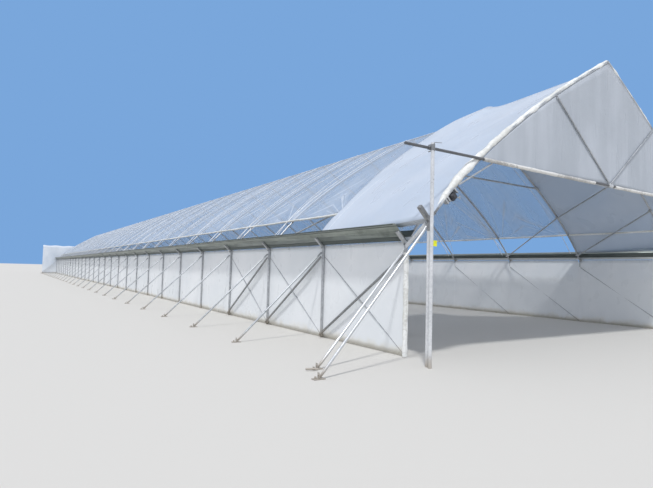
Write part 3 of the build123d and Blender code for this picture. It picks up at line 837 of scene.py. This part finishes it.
def buildRoofFilms():
    low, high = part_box("left_roof_film")
    shares = np.linspace(shareAt(mainArch, 1, tunnel["ventHeight"]), 1, 22)
    ys = np.linspace(low.y, high.y, (tunnel["bays"] - 1) * 12 + 1)[:, None]
    outset = roofOutset(ys, shares)
    half = archPoints(mainArch, shares, outset)
    run = runLength(half[0])
    for name, side in sides:
        points = grid(side * half[..., 0], ys, half[..., 1])
        makeSheet(f"{name}_roof_sheet", points, grid(ys - firstY, run - run[-1]), side < 0, roofFilm, "roof_film",
                  f"{name}_roof_film")


hem = {"ahead": 0.20, "rightAhead": 0.02, "radius": 0.0140, "drop": 0.005}


def buildHems():
    """A roll of film along the eave, its radius swelling a little from place to place."""
    for name, side in sides:
        low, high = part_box(f"{name}_hem_tube")
        ys = np.linspace(low.y - hem["ahead"] if side < 0 else firstY - hem["rightAhead"], high.y, 330)
        x, z = (abs(low.x) + abs(high.x)) / 2, (low.z + high.z) / 2
        path = grid(side * x, ys, z - hem["drop"] * hump((ys - firstY) / bay) ** 2)
        radius = hem["radius"] * (1 + 0.08 * np.sin(ys * 31.0) + 0.06 * np.sin(ys * 13.7 + 1.0))
        make(f"{name}_hem_roll", tubes(path, radius, 12), whiteRoll, f"{name}_hem_tube", slotName="hem")


# Ropes: a strap over the film beside each hoop, and a lacing that crosses the ridge in mid bay

ropes = {"strapShift": 0.13, "strapRadius": 0.0050, "laceRadius": 0.0038, "start": 0.03, "laceLift": 0.0008}


def buildRopes():
    shares = np.linspace(ropes["start"], 1, 40)
    lift = roofOutset(firstY + ropes["strapShift"], shares) + ropes["strapRadius"]
    strapYs = frameYs[1:-1] + ropes["strapShift"]
    straps = [archTubes(mainArch, shares, side, strapYs, ropes["strapRadius"], 6, lift) for _, side in sides]
    make("film_straps", joined(*straps), ropeWhite, slotName="hem")
    there = np.concatenate([shares, shares[-2::-1]])
    turn = np.where(np.arange(len(there)) < len(shares), -1.0, 1.0)
    ys = frameYs[2:-1, None] + bay * np.linspace(0, 1, len(there))
    outset = roofOutset(ys, there) + ropes["laceRadius"] + ropes["laceLift"]
    half = archPoints(mainArch, there, outset)
    laces = [tubes(grid(way * turn * half[..., 0], ys, half[..., 1]), ropes["laceRadius"], 5, across=[0, 1, 0])
             for way in (1.0, -1.0)]
    make("film_lacing", joined(*laces), ropeWhite, slotName="hem")


# The front sheet. Its ridge is given by places behind the first hoop, the first of them the tip

sheetLook = {"nearStart": -0.02, "farStart": 0.045, "overHoop": 0.0155, "overFilm": 0.0065, "sag": 0.020,
             "ridgeYs": [1.190, 1.565, 1.830, 2.150], "ridgeZs": [3.064, 3.035, 3.008, 2.945],
             "ridgeSag": 0.066, "tipWidth": 0.22, "rightLap": 0.08, "flap": 0.10, "flapDrop": 0.018,
             "rearShares": [0.0, 0.15, 0.25, 0.45, 0.60, 0.75, 0.90, 1.0],
             "rearLap": [0.27, 0.29, 0.25, 0.36, 0.50, 0.60, 0.66, 0.74]}


def buildFrontSheets():
    """From the front arch to the second hoop each point moves along a straight line, less a sag; past it the sheet
    lies on the roof film. The ridge is drawn up to a tip: height += (wanted - plain) exp(-((1 - u) / width)^2)."""
    look = sheetLook
    startY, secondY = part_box("left_front_sheet")[0].y, frameYs[1]
    u = np.linspace(0, 1, 34)
    nearShares, farShares = (start + (1 - start) * u for start in (look["nearStart"], look["farStart"]))
    nearArc = archPoints(frontArch, nearShares, look["overHoop"])
    ahead = np.concatenate([np.linspace(0, 1, 36), 1 + np.linspace(0, 1, 11)[1:]])[:, None]
    share = np.clip(ahead, 0, 1)
    run = runLength(nearArc)
    run -= run[-1]
    for name, side in sides:
        lap = np.interp(u, look["rearShares"], look["rearLap"]) * (1.0 if side < 0 else look["rightLap"])
        ys = np.where(ahead <= 1, startY + ahead * (secondY - startY), secondY + (ahead - 1) * lap)
        outset = roofOutset(np.maximum(ys, secondY), farShares) + look["overFilm"]
        farArc = archPoints(mainArch, farShares, outset)
        half = nearArc * (1 - share[..., None]) + farArc * share[..., None]
        slack = look["sag"] * hump(share) * hump(u)
        past = ys[:, -1] - firstY
        toTip = np.clip((ys[:, -1] - startY) / (look["ridgeYs"][0] + firstY - startY), 0, 1)
        wanted = np.interp(past, [startY - firstY, *look["ridgeYs"]], [nearArc[-1, 1], *look["ridgeZs"]])
        wanted = wanted - look["ridgeSag"] * (1 - np.abs(2 * toTip - 1) ** 8)
        lift = (wanted - half[:, -1, 1])[:, None] * np.exp(-((1 - u) / look["tipWidth"]) ** 2)
        points = grid(side * half[..., 0], ys, half[..., 1] - slack + lift)
        makeSheet(f"{name}_front_skin", points, grid(ys - firstY, run), side < 0, frontFilm, "front_film",
                  f"{name}_front_sheet")
        edge = points[(points[:, 0, 1] > frontY + 0.02) & (points[:, 0, 1] < firstY + 0.12), 0]
        inward = np.linspace(0, 1, 6)
        x, y, z = np.moveaxis(edge[:, None], -1, 0)
        x = x - side * look["flap"] * inward
        flap = grid(x, y, z - (look["flapDrop"] * inward + 0.010 * hump(inward)))
        makeSheet(f"{name}_front_flap", flap, grid(y - firstY, x), side < 0, gableFilm, "front_film")


frontRoll = {"places": [0.03, 0.08, 0.16, 0.27, 0.34, 0.6, 1.0],
             "radii": [0.010, 0.024, 0.034, 0.033, 0.027, 0.024, 0.022], "inside": 0.014}


def buildFrontRoll():
    """The front edge of the film is rolled on the hoop: a lumpy roll, thickest below the beam."""
    shares = np.linspace(frontRoll["places"][0], 1, 150)
    thick = np.interp(shares, frontRoll["places"], frontRoll["radii"])
    half = archPoints(frontArch, shares, thick - frontRoll["inside"])
    swell = 1 + 0.10 * np.sin(shares * 87.0) + 0.08 * np.sin(shares * 33.0 + 0.7) + 0.04 * np.sin(shares * 191)
    for name, side in sides:
        path = grid(side * half[:, 0], frontY + 0.012 + 0.003 * np.sin(shares * 71), half[:, 1])
        make(f"{name}_front_roll", tubes(path, thick * swell, 14, across=[0, 1, 0]), whiteRoll, slotName="hem")


def makeGable(name, node, arch, lowZ, y, sagDepth):
    """A curtain inside the arch: columns hang from the arch to the hem, which sags towards the middle.
    Gives back the reach of the hem."""
    half = archPoints(arch, np.linspace(shareAt(arch, 1, lowZ), 1, 34), -tunnel["filmGap"])
    edgeX = np.concatenate([half[:, 0], -half[-2::-1, 0]])[:, None]
    edgeZ = np.concatenate([half[:, 1], half[-2::-1, 1]])[:, None]
    reach = half[0, 0]
    drop = np.linspace(0, 1, 18)
    hemZ = lowZ - sagDepth * hump((edgeX + reach) / (2 * reach))
    pleats = np.sin(edgeX * 11.0 + 1.3 * drop) + 0.5 * np.sin(edgeX * 27.0)
    zs = edgeZ + drop * (hemZ - edgeZ)
    points = grid(edgeX, y + 0.0022 * pleats * drop * (1 - 0.5 * drop), zs)
    makeSheet(name, points, grid(edgeX, zs), True, gableFilm, "gable_film", node)
    return reach


gableHem = {"leftEnd": -0.30, "rightStart": 0.07, "radius": 0.0175, "sag": 0.007, "inFromEdge": 0.02}


def buildGables():
    edge = makeGable("front_gable_curtain", "front_gable_sheet", frontArch, beamZ - 0.004, frontY - 0.009, 0.016)
    hemX = np.linspace(-edge + gableHem["inFromEdge"], edge - gableHem["inFromEdge"], 160)
    meshes = []
    for part in (hemX[hemX < gableHem["leftEnd"]], hemX[hemX > gableHem["rightStart"]]):
        sag = gableHem["sag"] * hump((part + edge) / (2 * edge))
        swell = gableHem["radius"] * (1 + 0.05 * np.sin(part * 17) + 0.03 * np.sin(part * 41 + 1))
        meshes.append(tubes(grid(part, beamY - 0.003, beamZ - 0.001 - sag), swell, 14))
    make("gable_hem_roll", joined(*meshes), hemRoll, slotName="hem")
    makeGable("back_gable_curtain", "back_gable_sheet", mainArch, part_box("back_gable_sheet")[0].z, lastY, 0.0)


screen = {"posts": 9, "fold": 0.012, "sag": 0.035, "ties": (0.12, 0.5, 0.9)}


def buildScreen():
    """The screen: film tied between its posts, sagging a little at the top and folded beside each post."""
    low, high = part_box("back_screen_film")
    xs = np.linspace(-high.x, high.x, 193)[:, None]
    level = np.linspace(0, 1, 15)
    phase = (xs + high.x) / (2 * high.x) * (screen["posts"] - 1)
    bulge = hump(phase) ** 2
    fold = screen["fold"] * bulge * (0.6 + 0.4 * np.sin(phase * 5.1))
    zs = low.z + level * (high.z - screen["sag"] * bulge - low.z)
    points = grid(xs, low.y + 0.002 - fold * hump(0.15 + 0.85 * level), zs)
    makeSheet("back_screen_sheet", points, grid(xs, zs), True, screenFilm, "screen_film", "back_screen_film")
    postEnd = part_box("back_screen_posts")[1]
    rowX = np.linspace(-1, 1, screen["posts"]) * (postEnd.x - postRadius)
    feet = grid(rowX, middle("back_screen_posts")[1], 0.0)
    posts = tubes(between(feet, feet + [0, 0, postEnd.z]), postRadius, 14)
    ties = [pins(feet + [0, -0.004, share * postEnd.z], [0, 0, 1], 0.012, postRadius + 0.002, 12)
            for share in screen["ties"]]
    make("round_screen_posts", joined(posts, *ties), galvanised, "back_screen_posts")


# Front frame

frameLook = {"coupler": 0.046, "beamCoupler": 0.0165, "couplerBolt": 0.005, "rod": 0.003, "rodLength": 0.085,
             "clamp": 0.0168, "clampBolt": 0.0045, "strut": 0.008, "strap": 0.036, "rivet": 0.0055,
             "tag": (0.044, 0.003, 0.046), "tagHeight": 0.975}


def buildFrontFrame():
    look = frameLook
    tallX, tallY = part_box("tall_front_posts")[1].x - postRadius, middle("tall_front_posts")[1]
    tallZ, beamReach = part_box("tall_front_posts")[1].z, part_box("gable_beam")[1].x
    for row, x, y, top in (("tall", tallX, tallY, tallZ), ("short", frontHalfWidth, frontY, shortPost.z)):
        feet = mirroredPairs([x, y, 0.0])
        mesh = joined(tubes(between(feet, feet + [0, 0, top]), postRadius, 18),
                      pins(feet + [0, 0, top - 0.001], [0, 0, 1], 0.006, postRadius + 0.001, 18))
        if row == "short":
            mesh = joined(mesh, bandsAt(feet + [0, 0, top - 0.036]))
        make(f"round_{row}_posts", mesh, postZinc, f"{row}_front_posts")
    beam = pins([0, beamY, beamZ], [1, 0, 0], 2 * beamReach, tunnel["tube"], 16)
    plugs = pins(mirroredPairs([beamReach - 0.003, beamY, beamZ]), [1, 0, 0], 0.008, 0.0128, 16)
    make("round_gable_beam", joined(beam, plugs), darkSteel, "gable_beam")

    # Couplers where the beam crosses the tall posts, with a bolt end that sticks out
    crossing = mirroredPairs([tallX, (tallY + beamY) / 2, beamZ])
    toBeam = np.array([0, (beamY - tallY) / 2, 0])
    couplers = joined(
        pins(crossing + toBeam, [1, 0, 0], look["coupler"], look["beamCoupler"], 14),
        pins(crossing - toBeam, [0, 0, 1], look["coupler"], postRadius + 0.004, 16),
        *[pins(crossing + [0.0, 0.0, up], [0, 1, 0], 0.070, look["couplerBolt"]) for up in (0.026, -0.026)],
        pins(crossing + [0.022, 0.0, 0.0], [0, 0, 1], 0.060, look["couplerBolt"]),
        pins([-tallX + 0.058, tallY, beamZ + 0.048], [0.96, 0.0, 0.10], look["rodLength"], look["rod"]))
    # The couplers take the darker zinc, painted shade.
    make("beam_couplers", couplers, darkZinc, soft=0.0012)

    centre = np.array([0, *middle("gable_centre_clamp")[1:]])
    clamp = joined(
        pins(centre, [1, 0, 0], 0.080, look["clamp"], 16),
        boxes(centre + [[-0.022, 0, 0.017], [0.022, 0, 0.017]], (0.010, 0.026, 0.012)),
        pins(centre + [[-0.022, 0, 0.018], [0.022, 0, 0.018]], [0, 1, 0], 0.036, look["clampBolt"]),
        boxes(centre + [0, 0, -0.016], (0.050, 0.020, 0.008)))
    make("bolted_centre_clamp", clamp, brightZinc, "gable_centre_clamp", soft=0.0012)

    (low, high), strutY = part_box("gable_struts"), middle("gable_struts")[1]
    feet = mirroredPairs([0.016, strutY, low.z + 0.006])
    tops = mirroredPairs([high.x - 0.005, strutY, high.z - 0.006])
    bolts = np.vstack([feet * [1.3, 1, 1] + [0, 0, 0.008], tops * [0.992, 1, 1] - [0, 0, 0.008]])
    struts = joined(pressedTubes(feet, tops, look["strut"], 12), pins(bolts, [0, 1, 0], 0.022, look["clampBolt"]))
    make("round_gable_struts", struts, galvanised, "gable_struts")

    (low, high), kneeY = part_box("knee_braces"), middle("knee_braces")[1]
    feet = mirroredPairs([high.x - 0.005, kneeY, low.z + 0.006])
    tops = mirroredPairs([high.x - 0.425, kneeY, high.z - 0.006])
    make("round_knee_braces", pressedTubes(feet, tops, look["strut"], 12), galvanised, "knee_braces")

    # Eave bars: a tube with a broad strap along its outer side, from the first post head to the front one
    low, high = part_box("front_eave_bars")
    starts = mirroredPairs([halfWidth + 0.010, high.y - 0.006, tunnel["headHeight"] - 0.024])
    ends = mirroredPairs([frontHalfWidth - 0.004, low.y + 0.006, tunnel["frontHead"] - 0.024])
    meshes = [tubes(between(starts, ends), tunnel["tube"], 14)]
    for start, end in zip(starts, ends):
        length = float(np.linalg.norm(end - start))
        way = (end - start) / length
        outward = np.array([np.sign(start[0]), 0.0, 0.0])
        outward -= way * np.dot(outward, way)
        outward /= np.linalg.norm(outward)
        turn = np.stack([way, outward, np.cross(way, outward)], axis=1)
        meshes.append(boxes((start + end) / 2 + outward * 0.014, (length - 0.012, 0.004, look["strap"]), turn))
        spots = start + np.linspace(0.05, 0.95, 8)[:, None] * (end - start) + outward * 0.016
        meshes.append(tubes(between(spots - outward * 0.006, spots + outward * 0.004), look["rivet"], 6))
    make("strapped_eave_bars", joined(*meshes), brightZinc, "front_eave_bars", soft=0.001)

    # A plain yellow tag on the left tall post
    tag = boxes([-tallX + postRadius + 0.022, tallY, look["tagHeight"]], look["tag"])
    make("post_tag", tag, tagYellow, slotName="hem", soft=0.0008)


winch = {"size": 0.058, "depth": 0.050, "drop": 0.331, "inset": -0.0413, "hub": 0.017, "armStart": 0.034,
         "arm": 0.092, "armRadius": 0.0058, "bracket": (0.016, 0.042, 0.050), "brackets": (0.055, -0.060, -0.088),
         "bolt": 0.005}


def buildWinch():
    """A dark gear box square to the hoop, held by two brackets, with a hub and a short cranked arm."""
    share = shareAt(frontArch, 1, beamZ - winch["drop"])
    spot = archPoints(frontArch, share, winch["inset"])
    near = archPoints(frontArch, [share - 0.01, share + 0.01])
    turn = leaning(1.0, atan2(near[1, 1] - near[0, 1], near[0, 0] - near[1, 0]))
    centre = np.array([-spot[0], frontY, spot[1]])
    size, depth = winch["size"], winch["depth"]
    body = joined(
        boxes(centre, (size, depth, size), turn),
        boxes(centre, (size * 0.8, depth + 0.008, size * 0.8), turn),
        pins(centre, [0, 1, 0], depth + 0.020, winch["hub"], 18))
    make("winch_box", body, winchBlack, "vent_winch", soft=0.004)
    lugs = centre + np.array(winch["brackets"])[:, None] * turn[:, 0]
    fittings = joined(
        boxes(lugs + turn[:, 2] * 0.02, winch["bracket"], turn),
        pins(lugs[:2], [0, 1, 0], 0.058, winch["bolt"]),
        tubes(between(centre + [winch["armStart"], 0, 0], centre + [winch["arm"], 0, 0]), winch["armRadius"], 10),
        pins(centre + [winch["arm"] - 0.004, 0, 0], [0, 0, 1], 0.030, winch["bolt"], 10))
    make("winch_fittings", fittings, galvanised, soft=0.001)


buildPosts()
buildHeads()
buildHoops()
buildBraces()
print("tubes made")
buildGutters()
buildWallFilms()
buildRoofFilms()
buildHems()
buildRopes()
print("roof and walls made")
buildFrontSheets()
buildFrontRoll()
buildGables()
buildScreen()
buildFrontFrame()
buildWinch()
print("front and back made")


# The nodes that stay as they are get the finish of their own slot

carriedOver = {
    "galvanised_tube": galvanised,
    "gutter_steel": gutterSteel,
    "roof_film": roofFilm,
    "front_film": frontFilm,
    "gable_film": gableFilm,
    "wall_film": whiteRoll,
    "screen_film": screenFilm,
    "hem": whiteRoll,
}
for part in frame["record"]["subparts"]:
    node = frame["nodes"][part["node"]]
    node.data.materials.clear()
    node.data.materials.append(carriedOver[part["material_slot"]])


# Floor, light and camera

studio = {"floorReach": 300, "floorZ": -0.001, "floor": colour(0.62, 0.60, 0.56), "floorRoughness": 0.9,
          "sunTo": (1.0, 1.16, -2.56), "sunStrength": 2.0, "sunAngle": 5.0, "fill": colour(0.84, 0.89, 1.0),
          "fillStrength": 0.78, "backdrop": colour(0.195, 0.385, 0.71)}


@materialMaker
def plainMaterial(nodes, shade, roughness):
    return {"Base Color": shade, "Roughness": roughness}


corners = [[x * studio["floorReach"], y * studio["floorReach"], studio["floorZ"]]
           for x, y in ((-1, -1), (1, -1), (1, 1), (-1, 1))]
floor = pieceOf("studioFloor", (corners, [[0, 1, 2, 3]]))
floor.data.materials.append(plainMaterial("floorPaint", studio["floor"], studio["floorRoughness"]))

sun = bpy.data.lights.new("sun", "SUN")
sun.energy = studio["sunStrength"]
sun.angle = radians(studio["sunAngle"])
sunLamp = bpy.data.objects.new("sun", sun)
sunLamp.rotation_euler = Vector(studio["sunTo"]).to_track_quat("-Z", "Y").to_euler()
bpy.context.scene.collection.objects.link(sunLamp)

world = bpy.data.worlds.new("studio")
world.use_nodes = True
world.node_tree.nodes.clear()
bpy.context.scene.world = world
nodes = NodeMaker(world.node_tree)
rays = nodes.add("LightPath").outputs
seen = nodes.maths("MAXIMUM", rays["Is Camera Ray"], rays["Is Transmission Ray"])
fill = nodes.add("Background", {"Color": studio["fill"], "Strength": studio["fillStrength"]})
backdrop = nodes.add("Background", {"Color": studio["backdrop"], "Strength": 1.0})
mixed = nodes.add("MixShader", {0: seen, 1: fill.outputs[0], 2: backdrop.outputs[0]})
nodes.add("OutputWorld", {"Surface": mixed.outputs[0]})

cameraPlace = {"spot": (-5.4825, -22.3786, 0.7420), "yaw": 32.462, "pitch": 3.016, "roll": 1.447, "lens": 27.36,
               "farthest": 500}


def aimCamera():
    """The view turns by yaw from +Y towards +X, then up by pitch, then round its own axis by roll."""
    yaw, pitch, roll = (radians(cameraPlace[key]) for key in ("yaw", "pitch", "roll"))
    ahead = np.array([sin(yaw) * cos(pitch), cos(yaw) * cos(pitch), sin(pitch)])
    level = np.array([cos(yaw), -sin(yaw), 0.0])
    above = np.cross(level, ahead)
    right = cos(roll) * level + sin(roll) * above
    up = -sin(roll) * level + cos(roll) * above
    camera = bpy.data.objects.new("camera", bpy.data.cameras.new("camera"))
    camera.data.lens = cameraPlace["lens"]
    camera.data.clip_end = cameraPlace["farthest"]
    turn = Matrix(np.stack([right, up, -ahead], axis=1).tolist()).to_4x4()
    camera.matrix_world = Matrix.Translation(cameraPlace["spot"]) @ turn
    bpy.context.scene.collection.objects.link(camera)
    bpy.context.scene.camera = camera


aimCamera()
bpy.context.scene.view_settings.view_transform = "Standard"

print("scene made")
